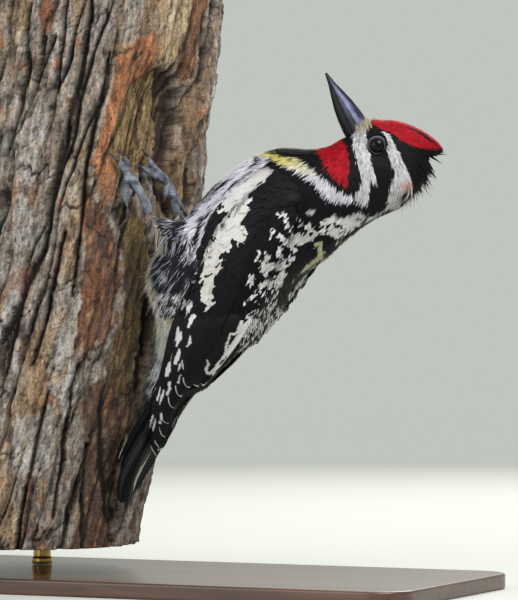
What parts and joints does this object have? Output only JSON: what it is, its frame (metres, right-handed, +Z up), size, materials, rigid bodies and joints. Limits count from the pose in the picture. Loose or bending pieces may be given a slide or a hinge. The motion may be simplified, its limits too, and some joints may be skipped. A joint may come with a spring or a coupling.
{
  "type": "sapsucker woodpecker on a trunk",
  "caption": "Life-size still model of a male sapsucker clinging upright to a cut length of tree trunk, head turned aside and bill raised, on a flat base with short rods.",
  "frame": {"origin": "centre of the stand's underside, at floor level", "axes": "+Z up; the bird's back is towards +X and the trunk towards -X; the bird's left side is towards -Y"},
  "size_m": [0.236, 0.116, 0.228],
  "materials": {
    "horn": "slate black horn, satin with a dull sheen",
    "eye": "dark brown, wet gloss",
    "pied_feathers": "soft and matt",
    "red_feathers": "soft and matt",
    "black_feathers": "black with a slight sheen",
    "leg_scales": "grey horny scales, dull",
    "bark": "rough grey bark plates over brown inner bark, with bare wood in a hollow",
    "stand_wood": "dark stained wood, satin",
    "stand_brass": "satin brass"
  },
  "bodies": {
    "root": {"bill_lower": "horn", "bill_upper": "horn", "body": "pied_feathers", "claw_left_1": "horn", "claw_left_2": "horn", "claw_left_3": "horn", "claw_left_4": "horn", "claw_right_1": "horn", "claw_right_2": "horn", "claw_right_3": "horn", "claw_right_4": "horn", "crest": "red_feathers", "eye_left": "eye", "eye_right": "eye", "head": "pied_feathers", "neck": "pied_feathers", "perch": "bark", "stand_base": "stand_wood", "stand_rod_left": "stand_brass", "stand_rod_right": "stand_brass", "tail": "black_feathers", "tarsus_left": "leg_scales", "tarsus_right": "leg_scales", "thigh_left": "pied_feathers", "thigh_right": "pied_feathers", "toe_left_1": "leg_scales", "toe_left_2": "leg_scales", "toe_left_3": "leg_scales", "toe_left_4": "leg_scales", "toe_right_1": "leg_scales", "toe_right_2": "leg_scales", "toe_right_3": "leg_scales", "toe_right_4": "leg_scales", "wing_left": "black_feathers", "wing_right": "black_feathers"}
  },
  "joints": []
}
